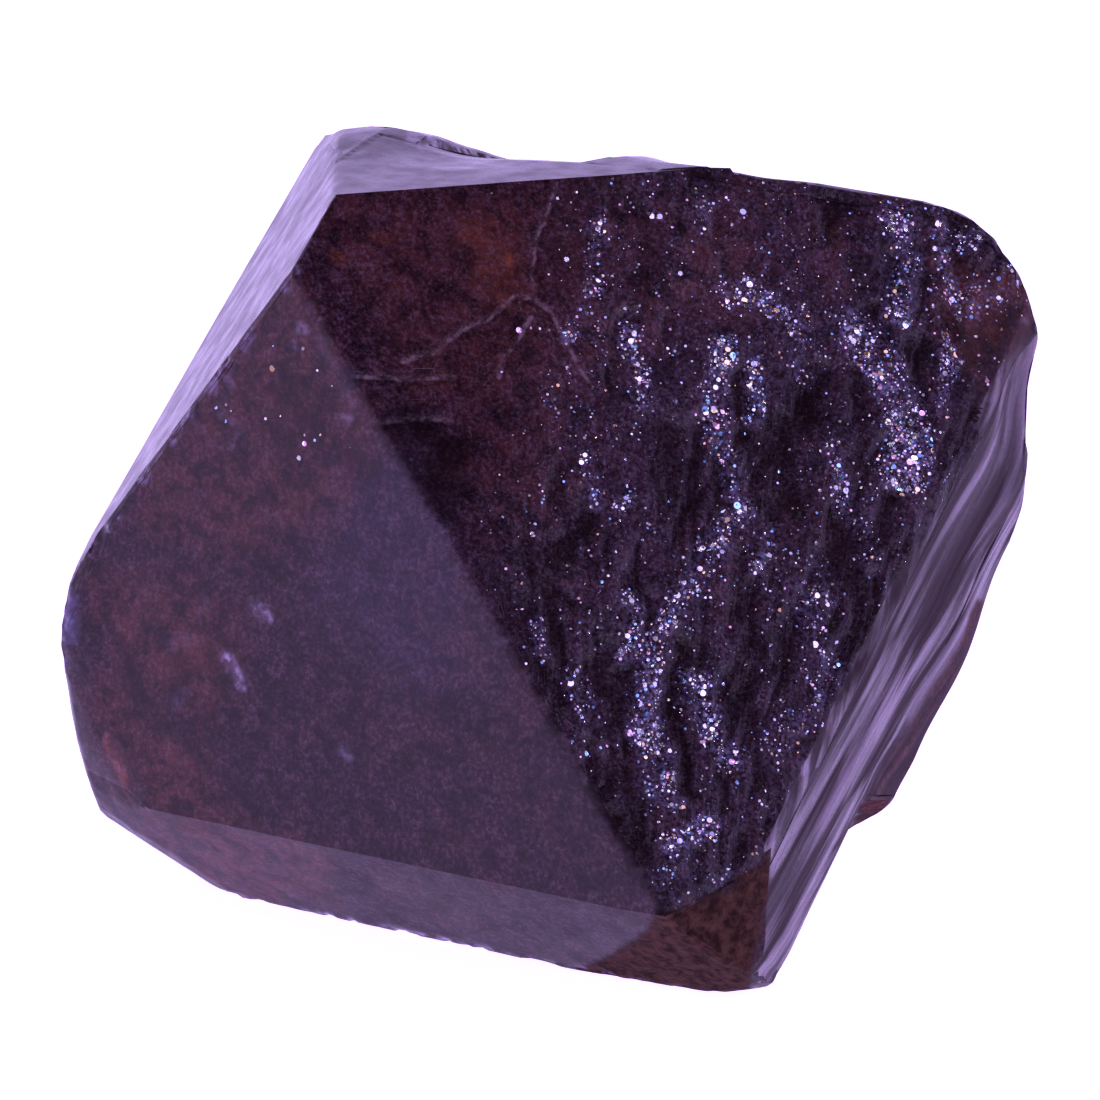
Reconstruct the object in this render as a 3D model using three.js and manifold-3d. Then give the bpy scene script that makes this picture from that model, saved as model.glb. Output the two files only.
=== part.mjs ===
// A loose zircon crystal: a stubby square prism closed by a four-sided pyramid at each end,
// lying on one of its lower pyramid faces. It grew as one piece, so it is one solid.
// Millimetres, +Z up. The origin is under the middle of the crystal, on the surface it lies on.

import * as THREE from 'three';
import { ConvexGeometry } from 'three/addons/geometries/ConvexGeometry.js';
import { mergeVertices } from 'three/addons/utils/BufferGeometryUtils.js';
import Module from 'manifold-3d';

const wasm = await Module();
wasm.setup();

// ---- Driving dimensions -------------------------------------------------------------------

// The crystal's own axes are x = a1, y = a2 and z = c, its fourfold axis, from its centre.
const AXIAL_RATIO = 0.905; // c/a of tetragonal zircon
const DEGREE = Math.PI / 180;
const QUARTER = Math.PI / 2;

// Angle between the c axis and the normal of each form's upper faces.
const PYRAMID = Math.atan(AXIAL_RATIO); // {101}
const STEEP_PYRAMID = Math.atan(2 * AXIAL_RATIO); // {201}
const PRISM = QUARTER; // {100}
const LOWER_PYRAMID = Math.PI - PYRAMID; // {101} below the equator

// Each face: its form, its side in quarter turns from a1, its distance from the centre, and
// the small lean and turn, in degrees, by which growth left it off its ideal direction.
const FACES = {
  upperFront: { slope: PYRAMID, side: 0, distance: 7.0, lean: 0.75, turn: 0.5 },
  upperRight: { slope: PYRAMID, side: 1, distance: 5.72, lean: -2, turn: 1.2 },
  upperBack: { slope: PYRAMID, side: 2, distance: 9.5, lean: -0.3, turn: 0 },
  upperLeft: { slope: PYRAMID, side: 3, distance: 9.65, lean: -0.3, turn: -1.6 },
  shoulderBack: { slope: STEEP_PYRAMID, side: 2, distance: 9.7, lean: -0.6, turn: 1.9 },
  prismFront: { slope: PRISM, side: 0, distance: 9.65, lean: 0, turn: 0 },
  prismRight: { slope: PRISM, side: 1, distance: 9.5, lean: 0.15, turn: 0.15 },
  prismLeft: { slope: PRISM, side: 3, distance: 9.85, lean: 0, turn: 0.1 },
  base: { slope: LOWER_PYRAMID, side: 0, distance: 8.95, lean: 0, turn: 0 },
  lowerRight: { slope: LOWER_PYRAMID, side: 1, distance: 8.9, lean: 0, turn: -0.2 },
  lowerBack: { slope: LOWER_PYRAMID, side: 2, distance: 7.05, lean: 0.3, turn: 0 },
  lowerLeft: { slope: LOWER_PYRAMID, side: 3, distance: 9.2, lean: 0, turn: 0 },
};

const EDGE_WEAR = 0.05; // how far an edge is worn back

// Worn corners: the faces that meet there and how far their point is worn back.
const WORN_CORNERS = [
  { faces: ['prismFront', 'prismLeft', 'base'], depth: 0.95 },
  { faces: ['upperFront', 'prismFront', 'prismLeft'], depth: 0.75 },
  { faces: ['prismFront', 'prismRight', 'base'], depth: 0.6 },
  { faces: ['upperRight', 'prismRight', 'lowerBack'], depth: 0.15 },
  { faces: ['upperRight', 'shoulderBack', 'lowerBack'], depth: 0.25 },
  { faces: ['prismRight', 'lowerRight', 'lowerBack'], depth: 0.1 },
  { faces: ['prismLeft', 'lowerLeft', 'lowerBack'], depth: 0.5 },
  { faces: ['shoulderBack', 'prismLeft', 'lowerBack'], depth: 0.3 },
  { faces: ['upperFront', 'upperLeft', 'prismLeft'], depth: 0.15 },
  { faces: ['upperBack', 'upperLeft', 'shoulderBack'], depth: 0.15 },
  { faces: ['base', 'lowerRight', 'lowerBack'], depth: 0.25 },
];
const CORNER_SPREAD = 0.8; // how far the facets round a worn corner lean towards its faces

// The front foot is broken off between prismFront and prismRight, in two flat breaks. Each
// is a plane through three points, in millimetres along the crystal's axes.
const FOOT_TOP = [9.63, 8.5, 0.2];
const BREAKS = [
  [[9.63, 4.7, -2.85], FOOT_TOP, [9.3, 9.5, -2.5]],
  [FOOT_TOP, [7.2, 9.5, -0.6], [9.5, 9.5, -2.6]],
];

// Late growth layers: a patch of one face that stands proud, between two sloping ends along a
// crystal axis. Its other sides lie a little inside the faces round it.
const GROWTH_LAYERS = [
  { face: 'lowerRight', rise: 0.85, turn: 5, axis: 'x', from: -9, to: 3.4 },
  { face: 'shoulderBack', rise: 0.3, turn: 0, axis: 'y', from: -0.4, to: 12 },
  { face: 'shoulderBack', rise: 0.3, turn: 0, axis: 'y', from: -12, to: -5.2 },
];
const LAYER_INSET = 0.03;
const END_SLOPE = 40 * DEGREE; // from upright

// Shell-shaped chips: the place of each one's centre, and its half sizes along the axes.
const CHIPS = [
  { at: [9.8, 3.0, -3.6], size: [0.5, 0.9, 0.5] },
  { at: [5.2, -8.9, 5.4], size: [0.8, 0.5, 0.6] },
];
const CHIP_DETAIL = 3;

const MERGE = 0.01; // points closer than this are one point
const TOUCH = 1e-6; // a point this close to a plane is on it

// ---- Convex solids from planes ------------------------------------------------------------

function facePlane({ slope, side, distance, lean, turn }) {
  const polar = slope + lean * DEGREE;
  const azimuth = side * QUARTER + turn * DEGREE;
  const normal = new THREE.Vector3(
    Math.sin(polar) * Math.cos(azimuth),
    Math.sin(polar) * Math.sin(azimuth),
    Math.cos(polar),
  );
  return new THREE.Plane(normal, -distance);
}

function meetingPoint(a, b, c) {
  const bc = new THREE.Vector3().crossVectors(b.normal, c.normal);
  const ca = new THREE.Vector3().crossVectors(c.normal, a.normal);
  const ab = new THREE.Vector3().crossVectors(a.normal, b.normal);
  const spread = a.normal.dot(bc);
  if (Math.abs(spread) < TOUCH) return null;
  return bc
    .multiplyScalar(-a.constant)
    .addScaledVector(ca, -b.constant)
    .addScaledVector(ab, -c.constant)
    .divideScalar(spread);
}

// Every corner of the solid that the planes bound, as { point, planes through it }.
function cornersOf(planes) {
  const corners = [];
  for (let i = 0; i < planes.length; i += 1) {
    for (let j = i + 1; j < planes.length; j += 1) {
      for (let k = j + 1; k < planes.length; k += 1) {
        const point = meetingPoint(planes[i], planes[j], planes[k]);
        if (!point || planes.some((plane) => plane.distanceToPoint(point) > TOUCH)) continue;
        const known = corners.find((corner) => corner.point.distanceTo(point) < MERGE);
        const corner = known ?? { point, planes: new Set() };
        for (const plane of [planes[i], planes[j], planes[k]]) corner.planes.add(plane);
        if (!known) corners.push(corner);
      }
    }
  }
  return corners;
}

function convexGeometry(planes) {
  return new ConvexGeometry(cornersOf(planes).map((corner) => corner.point));
}

function planeAcross(point, normal, depth) {
  const cut = new THREE.Plane().setFromNormalAndCoplanarPoint(normal.clone().normalize(), point);
  cut.constant += depth;
  return cut;
}

// ---- Wear and breaks ----------------------------------------------------------------------

function edgeWear(planes) {
  const corners = cornersOf(planes);
  const cuts = [];
  planes.forEach((a, i) => {
    for (const b of planes.slice(i + 1)) {
      const ends = corners.filter((corner) => corner.planes.has(a) && corner.planes.has(b));
      if (ends.length < 2) continue;
      const normal = new THREE.Vector3().addVectors(a.normal, b.normal);
      cuts.push(planeAcross(ends[0].point, normal, EDGE_WEAR));
    }
  });
  return cuts;
}

function cornerWear(planes, { faces, depth }) {
  const [a, b, c] = faces.map((name) => planes[name]);
  const point = meetingPoint(a, b, c);
  const middle = new THREE.Vector3().add(a.normal).add(b.normal).add(c.normal).normalize();
  const apex = point.clone().addScaledVector(middle, -depth);
  const leaning = [a, b, c].map((plane) => middle.clone().addScaledVector(plane.normal, CORNER_SPREAD));
  return [planeAcross(apex, middle, 0), ...leaning.map((normal) => planeAcross(point, normal, depth))];
}

function breakPlane(points) {
  const [p, q, r] = points.map((point) => new THREE.Vector3(...point));
  const plane = new THREE.Plane().setFromCoplanarPoints(p, q, r);
  return plane.constant > 0 ? plane.negate() : plane;
}

// ---- Joining and cutting ------------------------------------------------------------------

function solidOf(geometry) {
  const bare = geometry.clone();
  bare.deleteAttribute('normal');
  bare.deleteAttribute('uv');
  const merged = mergeVertices(bare, MERGE);
  return new wasm.Manifold(new wasm.Mesh({
    numProp: 3,
    vertProperties: new Float32Array(merged.attributes.position.array),
    triVerts: new Uint32Array(merged.index.array),
  }));
}

function geometryOf(solid) {
  const { numProp, vertProperties, triVerts } = solid.getMesh();
  const geometry = new THREE.BufferGeometry();
  geometry.setAttribute('position', new THREE.BufferAttribute(vertProperties, numProp));
  geometry.setIndex(new THREE.BufferAttribute(triVerts, 1));
  geometry.computeVertexNormals();
  return geometry;
}

// ---- The crystal --------------------------------------------------------------------------

function wornSolid(faces, bounds = []) {
  const planes = [
    ...Object.values(faces),
    ...bounds,
    ...WORN_CORNERS.flatMap((corner) => cornerWear(faces, corner)),
    ...BREAKS.map(breakPlane),
  ];
  return solidOf(convexGeometry([...planes, ...edgeWear(planes)]));
}

// The plane that ends a layer: it stands across the axis at the face's old surface, and leans
// over the layer.
function layerEnd(face, axis, at, direction) {
  const across = new THREE.Vector3();
  across[axis] = direction;
  const foot = face.normal.clone().multiplyScalar(-face.constant);
  foot[axis] = at;
  const normal = across.clone().multiplyScalar(Math.cos(END_SLOPE))
    .addScaledVector(face.normal, Math.sin(END_SLOPE));
  return planeAcross(foot, normal, 0);
}

function layerSolid({ face, rise, turn, axis, from, to }) {
  const faces = {};
  for (const [name, form] of Object.entries(FACES)) {
    const grown = name === face
      ? { ...form, distance: form.distance + rise, turn: form.turn + turn }
      : { ...form, distance: form.distance - LAYER_INSET };
    faces[name] = facePlane(grown);
  }
  const buried = facePlane(FACES[face]);
  const ends = [layerEnd(buried, axis, to, 1), layerEnd(buried, axis, from, -1)];
  return wornSolid(faces, ends);
}

function chipSolid({ at, size }) {
  const shell = new THREE.IcosahedronGeometry(1, CHIP_DETAIL);
  shell.scale(...size);
  shell.translate(...at);
  return solidOf(shell);
}

function crystalGeometry() {
  const faces = Object.fromEntries(
    Object.entries(FACES).map(([name, form]) => [name, facePlane(form)]),
  );
  let crystal = wornSolid(faces);
  for (const layer of GROWTH_LAYERS) crystal = crystal.add(layerSolid(layer));
  for (const chip of CHIPS) crystal = crystal.subtract(chipSolid(chip));
  return geometryOf(crystal);
}

const zircon = new THREE.MeshStandardMaterial({ color: 0x3a2430, roughness: 0.3, metalness: 0 });

const crystal = new THREE.Mesh(crystalGeometry(), zircon);
crystal.name = 'crystal';

// Leaning the c axis by the pyramid's own slope lays the face called base flat, underneath.
crystal.rotation.set(PYRAMID, 0, -QUARTER);
const box = new THREE.Box3().setFromObject(crystal, true);
const middle = box.getCenter(new THREE.Vector3());
crystal.position.set(-middle.x, -middle.y, -box.min.z);

const group = new THREE.Group();
group.add(crystal);

export default group;
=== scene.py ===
import math

import bpy
import numpy as np
from mathutils import Matrix, Vector
from mathutils.geometry import delaunay_2d_cdt
from mathutils.kdtree import KDTree


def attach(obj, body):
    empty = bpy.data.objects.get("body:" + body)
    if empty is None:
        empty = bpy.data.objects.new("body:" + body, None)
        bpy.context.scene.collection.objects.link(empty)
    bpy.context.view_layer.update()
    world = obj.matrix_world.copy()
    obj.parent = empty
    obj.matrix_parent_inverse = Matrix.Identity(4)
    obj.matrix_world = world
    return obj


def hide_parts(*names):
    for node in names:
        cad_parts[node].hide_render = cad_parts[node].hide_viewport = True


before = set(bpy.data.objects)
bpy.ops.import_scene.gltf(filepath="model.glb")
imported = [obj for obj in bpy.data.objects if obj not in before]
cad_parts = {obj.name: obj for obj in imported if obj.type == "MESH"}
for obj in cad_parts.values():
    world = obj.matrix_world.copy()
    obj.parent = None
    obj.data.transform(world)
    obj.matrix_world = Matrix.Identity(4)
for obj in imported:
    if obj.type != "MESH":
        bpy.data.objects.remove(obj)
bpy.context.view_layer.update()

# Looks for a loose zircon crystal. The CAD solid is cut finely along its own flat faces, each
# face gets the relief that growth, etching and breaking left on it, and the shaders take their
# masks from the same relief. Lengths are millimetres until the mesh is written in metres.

MM = 0.001

# ---- Camera: the photograph's view --------------------------

AIM = (0.18, -0.16, 8.95)  # the crystal's centre
AZIMUTH, ELEVATION, ROLL = 34.48, 14.81, -0.27  # degrees
DISTANCE = 151.0
SENSOR = 36.0
PHOTO_SIDE = 1100  # pixels
PIXELS_PER_MM = 40.0  # at the crystal's centre
LENS = SENSOR * DISTANCE * PIXELS_PER_MM / PHOTO_SIDE

# ---- Crystal faces ------------------------------------------

AXIAL_RATIO = 0.905  # c/a of tetragonal zircon
QUARTER = math.pi / 2
PYRAMID = math.atan(AXIAL_RATIO)
STEEP_PYRAMID = math.atan(2 * AXIAL_RATIO)
PRISM = QUARTER
LOWER_PYRAMID = math.pi - PYRAMID

# Each face's slope from the c axis, its side in quarter turns from a1, the spacing of its mesh
# and its material.
FACES = {
    "upper_front": (PYRAMID, 0, 0.16, "smooth"),
    "upper_right": (PYRAMID, 1, 0.084, "etched"),
    "upper_back": (PYRAMID, 2, 0.13, "smooth"),
    "upper_left": (PYRAMID, 3, 0.16, "smooth"),
    "shoulder_back": (STEEP_PYRAMID, 2, 0.15, "smooth"),
    "prism_front": (PRISM, 0, 0.15, "dull"),
    "prism_right": (PRISM, 1, 0.09, "striated"),
    "prism_left": (PRISM, 3, 0.16, "striated"),
    "base": (LOWER_PYRAMID, 0, 0.25, "dull"),
    "lower_right": (LOWER_PYRAMID, 1, 0.2, "dull"),
    "lower_back": (LOWER_PYRAMID, 2, 0.22, "smooth"),
    "lower_left": (LOWER_PYRAMID, 3, 0.2, "smooth"),
}
BREAK_SPACING = 0.13
SAME_FACE = math.cos(math.radians(2.7))  # a plane this near a face's direction is that face
FLAT = 0.99999  # cosine below which two triangles aren't in one plane
LEVEL = 0.01  # and the most that their planes may be apart
WELD = 4  # decimals of a millimetre
SMALL = 0.1  # square millimetres: a triangle smaller than this is cut up on its own
SLIVER = 1e-6  # a triangle lower than this is only rounding

# The crystal's axes in the row frame, where it lies on its base face.
A2 = np.array([1.0, 0.0, 0.0])
A1 = np.array([0.0, -math.cos(PYRAMID), -math.sin(PYRAMID)])
C = np.array([0.0, -math.sin(PYRAMID), math.cos(PYRAMID)])


def unit(v):
    return v / np.linalg.norm(v)


def ideal_normal(slope, side):
    turn = side * QUARTER
    return math.sin(slope) * (math.cos(turn) * A1 + math.sin(turn) * A2) + math.cos(slope) * C


def ramp(low, high, x):
    t = np.clip((x - low) / (high - low), 0, 1)
    return t * t * (3 - 2 * t)


# ---- Noise --------------------------------------------------

PRIMES = np.array([73856093, 19349663, 83492791], np.uint64)
SCRAMBLE = np.uint64(0x9E3779B97F4A7C15)
SEED_STEP = 0x9E3779B1


def lattice(cells, seed):
    """A fixed random number from 0 to 1 for each cell."""
    h = (cells.astype(np.int64) + 4096).astype(np.uint64) * PRIMES
    h = h[:, 0] ^ h[:, 1] ^ h[:, 2] ^ np.uint64(seed * SEED_STEP)
    h ^= h >> np.uint64(31)
    h *= SCRAMBLE
    h ^= h >> np.uint64(29)
    return (h & np.uint64(0xFFFFFF)).astype(float) / 0xFFFFFF


def noise(points, seed):
    """Smooth value noise from 0 to 1, with one lattice cell per unit of length."""
    low = np.floor(points)
    f = points - low
    f = f * f * (3 - 2 * f)
    total = np.zeros(len(points))
    for corner in range(8):
        step = np.array([corner & 1, corner >> 1 & 1, corner >> 2 & 1])
        weight = np.prod(np.where(step, f, 1 - f), axis=1)
        total += weight * lattice(low + step, seed)
    return total


def fractal(points, seed, octaves=3, gain=0.5):
    """Noise of several sizes together, from 0 to 1."""
    total, size, most = np.zeros(len(points)), 1.0, 0.0
    for k in range(octaves):
        total += size * noise(points * 2**k, seed + k)
        most += size
        size *= gain
    return total / most


# ---- The frame's planes -------------------------------------


def welded(mesh):
    co = np.empty(len(mesh.vertices) * 3)
    mesh.vertices.foreach_get("co", co)
    points, index = np.unique(
        np.round(co.reshape(-1, 3) / MM, WELD), axis=0, return_inverse=True
    )
    corners = np.array([p.vertices[:] for p in mesh.polygons])
    triangles = index.reshape(-1)[corners]
    a, b, c = points[triangles].transpose(1, 0, 2)
    return points, triangles[np.linalg.norm(np.cross(b - a, c - a), axis=1) > 1e-9]


def coplanar_groups(points, triangles):
    """Lists of triangles that share a plane, as (triangle indices, normal, offset, area)."""
    a, b, c = points[triangles].transpose(1, 0, 2)
    normals = np.cross(b - a, c - a)
    areas = np.linalg.norm(normals, axis=1) / 2
    normals /= 2 * areas[:, None]
    offsets = (normals * a).sum(1)
    free = np.ones(len(triangles), bool)
    groups = []
    for i in np.argsort(-areas):
        if free[i]:
            same = free & (normals @ normals[i] > FLAT) & (abs(offsets - offsets[i]) < LEVEL)
            if areas[i] < SMALL:
                same = np.arange(len(triangles)) == i
            free &= ~same
            groups.append((np.flatnonzero(same), normals[i], offsets[i], areas[same].sum()))
    return groups


points, triangles = welded(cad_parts["crystal"].data)
groups = coplanar_groups(points, triangles)

planes = {}  # face name: (normal, offset), from the largest group near its direction
for name, (slope, side, _, _) in FACES.items():
    ideal = ideal_normal(slope, side)
    near = [g for g in groups if g[1] @ ideal > SAME_FACE]
    _, normal, offset, _ = max(near, key=lambda g: g[3])
    planes[name] = (normal, offset)
names = list(FACES)
normals = np.array([planes[n][0] for n in names])
offsets = np.array([planes[n][1] for n in names])


# ---- Camera and points of the photograph --------------------


def camera_axes():
    a, e, r = (math.radians(x) for x in (AZIMUTH, ELEVATION, ROLL))
    back = np.array([math.sin(a) * math.cos(e), -math.cos(a) * math.cos(e), math.sin(e)])
    right = np.array([math.cos(a), math.sin(a), 0.0])
    up = np.cross(back, right)
    return math.cos(r) * right + math.sin(r) * up, math.cos(r) * up - math.sin(r) * right, back


RIGHT, UP, BACK = camera_axes()
EYE = np.array(AIM) + BACK * DISTANCE


def on_face(face, *pixels):
    """Where the photograph's pixels lie on a face's plane."""
    normal, offset = planes[face]
    found = []
    for x, y in pixels:
        across = (x - PHOTO_SIDE / 2) / (PIXELS_PER_MM * DISTANCE)
        upward = (PHOTO_SIDE / 2 - y) / (PIXELS_PER_MM * DISTANCE)
        ray = RIGHT * across + UP * upward - BACK
        found.append(EYE + ray * (offset - normal @ EYE) / (normal @ ray))
    return np.array(found)


def on_photo(where):
    """The photograph's pixels, as (x, y) rows, where points are seen."""
    away = where - EYE
    per_pixel = -(away @ BACK) / (PIXELS_PER_MM * DISTANCE)
    x = PHOTO_SIDE / 2 + (away @ RIGHT) / per_pixel
    y = PHOTO_SIDE / 2 - (away @ UP) / per_pixel
    return np.stack([x, y], axis=1)


lens = bpy.data.cameras.new("photo_view")
lens.lens, lens.sensor_width = LENS, SENSOR
lens.clip_start, lens.clip_end = 0.01, 20
camera = bpy.data.objects.new("photo_view", lens)
bpy.context.scene.collection.objects.link(camera)
rotation = Matrix([RIGHT, UP, BACK]).transposed().to_4x4()
camera.matrix_world = Matrix.Translation(Vector(EYE * MM)) @ rotation
bpy.context.scene.camera = camera

# ---- Fine mesh on the CAD's flat faces ----------------------


def nearest_face(normal):
    return names[int(np.argmax(normals @ normal))]


def is_face(group):
    """True for a plane that is one of the crystal's faces, or a growth layer on one."""
    return group[3] > 0.5 and (normals @ group[1]).max() > math.cos(math.radians(6))


def spacing_of(group):
    return FACES[nearest_face(group[1])][2] if is_face(group) else BREAK_SPACING


def boundary(tris):
    """The edges that only one of the triangles has."""
    edges = np.sort(np.concatenate([tris[:, [0, 1]], tris[:, [1, 2]], tris[:, [2, 0]]]), axis=1)
    found, count = np.unique(edges, axis=0, return_counts=True)
    return [tuple(e) for e in found[count == 1]]


def inside(flat, corners):
    """Which 2-D points lie in any of the triangles."""
    hit = np.zeros(len(flat), bool)
    for a, b, c in corners:
        sides = [
            (q[0] - p[0]) * (flat[:, 1] - p[1]) - (q[1] - p[1]) * (flat[:, 0] - p[0])
            for p, q in ((a, b), (b, c), (c, a))
        ]
        hit |= (np.minimum.reduce(sides) >= 0) | (np.maximum.reduce(sides) <= 0)
    return hit


def plane_axes(normal):
    along = unit(np.cross(normal, C if abs(normal @ C) < 0.9 else A1))
    return along, np.cross(normal, along)


def ring(triangle, split):
    """The points round a triangle, with those that its split sides have."""
    loop = []
    for u, v in zip(triangle, np.roll(triangle, -1)):
        side = split[min(u, v), max(u, v)]
        loop.extend(side[:-1] if side[0] == u else side[:0:-1])
    return loop


def refined(points, triangles, groups):
    """The same surface with even triangles: (points, triangles, group of each triangle)."""
    edge_spacing = {}
    rims = [boundary(triangles[g[0]]) for g in groups]
    for g, rim in zip(groups, rims):
        for edge in rim:
            edge_spacing[edge] = min(edge_spacing.get(edge, 1), spacing_of(g))
    made = [p for p in points]
    split = {}
    for (i, j), spacing in edge_spacing.items():
        pieces = max(1, math.ceil(np.linalg.norm(points[j] - points[i]) / spacing))
        between = []
        for k in range(1, pieces):
            between.append(len(made))
            made.append(points[i] + (points[j] - points[i]) * k / pieces)
        split[i, j] = [i, *between, j]
    faces, owner = [], []
    for number, (g, rim) in enumerate(zip(groups, rims)):
        members, normal, offset, _ = g
        if len(members) == 1 and g[3] < SMALL:
            loop = ring(triangles[members[0]], split)
            if len(loop) > 3:
                made.append(points[triangles[members[0]]].mean(0))
                fan = [[u, v, len(made) - 1] for u, v in zip(loop, loop[1:] + loop[:1])]
            else:
                fan = [loop]
            faces.extend(fan)
            owner.extend([number] * len(fan))
            continue
        along, across = plane_axes(normal)
        rim_ids = sorted({i for e in rim for i in split[e]})
        place = {i: k for k, i in enumerate(rim_ids)}
        rim_flat = np.array([[made[i] @ along, made[i] @ across] for i in rim_ids])
        corners = points[triangles[members]]
        corners = np.stack([corners @ along, corners @ across], axis=-1)
        spacing = spacing_of(g)
        low, high = rim_flat.min(0), rim_flat.max(0)
        columns = np.arange(low[0], high[0], spacing)
        rows = np.arange(low[1], high[1], spacing * math.sqrt(0.75))
        x, y = np.meshgrid(columns, rows)
        x[1::2] += spacing / 2
        grid = np.stack([x.ravel(), y.ravel()], axis=1)
        grid = grid[inside(grid, corners)] if len(grid) else grid
        tree = KDTree(len(rim_flat))
        for k, p in enumerate(rim_flat):
            tree.insert((*p, 0), k)
        tree.balance()
        grid = [p for p in grid if tree.find((*p, 0))[2] > 0.55 * spacing]
        base = len(made)
        made.extend(along * p[0] + across * p[1] + normal * offset for p in grid)
        ids = rim_ids + list(range(base, base + len(grid)))
        coords = [Vector(p) for p in rim_flat] + [Vector(p) for p in grid]
        bars = [
            (place[u], place[v]) for e in rim for u, v in zip(split[e], split[e][1:])
        ]
        out, _, cells, origin, _, _ = delaunay_2d_cdt(coords, bars, [], 0, 1e-9)
        source = [ids[o[0]] for o in origin]
        flat = np.array(out)[np.array(cells)]
        sides = flat - np.roll(flat, 1, axis=1)
        doubled = abs(sides[:, 0, 0] * sides[:, 1, 1] - sides[:, 0, 1] * sides[:, 1, 0])
        height = doubled / np.linalg.norm(sides, axis=2).max(1)
        for cell, keep in zip(cells, inside(flat.mean(1), corners) & (height > SLIVER)):
            if keep:
                faces.append([source[k] for k in cell])
                owner.append(number)
    used, faces = np.unique(faces, return_inverse=True)
    return np.array(made)[used], faces.reshape(-1, 3), np.array(owner)


verts, faces, owner = refined(points, triangles, groups)


# ---- Features of the visible faces, by their pixels in the photograph ----

# Paths across the etched face where glints are painted: (path, half width, strength).
GLITTER = [
    ([(596, 212), (602, 262), (590, 300), (570, 338)], 9, 0.6),
    ([(640, 180), (655, 215)], 8, 0.4),
    ([(628, 330), (640, 370), (633, 400)], 11, 0.7),
    ([(702, 180), (705, 240)], 8, 0.4),
    ([(722, 290), (760, 298), (798, 322), (795, 350), (805, 372)], 14, 0.7),
    ([(722, 345), (712, 390), (715, 430), (737, 475), (738, 510)], 13, 0.9),
    ([(750, 360), (758, 400), (752, 420)], 9, 0.7),
    ([(738, 510), (712, 545), (690, 590), (668, 625), (652, 670), (640, 710)], 13, 0.7),
    ([(650, 692), (645, 735), (655, 776), (670, 802)], 15, 0.95),
    ([(700, 680), (697, 705), (712, 725), (735, 755)], 16, 0.8),
    ([(668, 850), (700, 832), (715, 822)], 11, 0.9),
    ([(672, 875), (722, 882)], 22, 0.35),
    ([(860, 330), (880, 365), (903, 400), (912, 440), (905, 472)], 20, 1.0),
    ([(862, 500), (866, 560)], 12, 0.28),
    ([(897, 212), (905, 255), (903, 312)], 15, 1.0),
    ([(938, 215), (946, 255), (950, 292)], 10, 0.7),
    ([(960, 238), (985, 228)], 12, 0.4),
    ([(970, 300), (1000, 280)], 20, 0.55),
    ([(945, 342), (950, 372), (940, 402)], 10, 0.7),
    ([(832, 450), (850, 500)], 12, 0.6),
    ([(772, 528), (762, 560)], 8, 0.7),
    ([(800, 598), (830, 640), (815, 700), (778, 742)], 20, 0.32),
    ([(818, 560), (826, 600)], 10, 0.5),
    ([(590, 466), (598, 500)], 9, 0.5),
    ([(620, 505), (632, 492)], 8, 0.5),
    ([(624, 590), (641, 622), (631, 655)], 10, 0.6),
    ([(538, 618), (546, 650)], 8, 0.5),
    ([(574, 680), (592, 722)], 14, 0.3),
]
TROUGHS = [
    ([(737, 372), (735, 408)], 12, 0.8),
    ([(815, 375), (806, 415)], 22, 1.0),
    ([(780, 450), (786, 500)], 22, 0.8),
    ([(665, 430), (672, 490)], 20, 0.7),
    ([(645, 215), (650, 280)], 16, 0.6),
    ([(914, 340), (922, 395)], 12, 0.9),
    ([(921, 262), (922, 310)], 8, 0.8),
    ([(860, 400), (862, 460)], 12, 0.6),
    ([(688, 645), (673, 700), (680, 750), (692, 790)], 10, 1.0),
    ([(752, 640), (748, 700)], 12, 0.8),
    ([(540, 655), (560, 705)], 12, 0.9),
    ([(605, 790), (628, 845), (640, 880)], 12, 1.0),
    ([(610, 650), (605, 720)], 15, 0.6),
    ([(745, 560), (742, 600)], 12, 0.6),
    ([(850, 225), (868, 290)], 14, 0.4),
    ([(960, 355), (985, 320)], 14, 0.7),
    ([(400, 428), (450, 445), (440, 490)], 22, 0.8),
]
CRACKS = [
    [(557, 185), (545, 218), (536, 238), (533, 274), (531, 297)],
    [(531, 297), (551, 313), (562, 335), (590, 385)],
    [(527, 297), (514, 297), (496, 315), (470, 328), (447, 342), (445, 352), (402, 361)],
    [(531, 318), (519, 340), (504, 355), (499, 377)],
    [(351, 375), (400, 379), (458, 377)],
    [(376, 424), (415, 418), (453, 420)],
]
ETCH_EDGE = [(585, 178), (560, 300), (535, 420), (500, 560)]  # left of it is smooth
FAN_CENTRE = (700, 1400)  # the troughs fan out from here

# Outlines of differently coloured zones: (outline, softness in pixels, strength).
# Warm zones: the stone's own red-brown, and on the right face's upper left a painted glow of light
# through the stone.
WARM_ZONES = [
    ([(285, 250), (305, 290), (385, 440), (300, 455), (165, 445), (230, 330)], 16, 0.52),
    ([(150, 436), (390, 436), (350, 500), (250, 560), (130, 540)], 24, 0.55),
    ([(95, 560), (190, 575), (245, 650), (215, 720), (120, 700)], 34, 0.80),
    ([(90, 690), (190, 740), (250, 830), (160, 840)], 25, 0.75),
    ([(120, 800), (330, 850), (330, 900), (200, 900)], 25, 0.9),
    ([(310, 190), (560, 180), (560, 350), (500, 400), (410, 400)], 30, 0.5),
    ([(560, 175), (760, 190), (760, 290), (600, 400), (540, 560), (470, 480)], 40, 0.45),
    ([(440, 200), (545, 195), (540, 290), (470, 290)], 20, 0.6),
    ([(800, 205), (860, 215), (860, 300), (820, 300)], 20, 0.5),
    ([(930, 260), (1025, 275), (1030, 340), (985, 400), (940, 330)], 14, 1.0),
    ([(835, 850), (870, 795), (905, 735), (972, 600), (1000, 610), (950, 720), (900, 830)], 6, 0.7),
]
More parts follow.
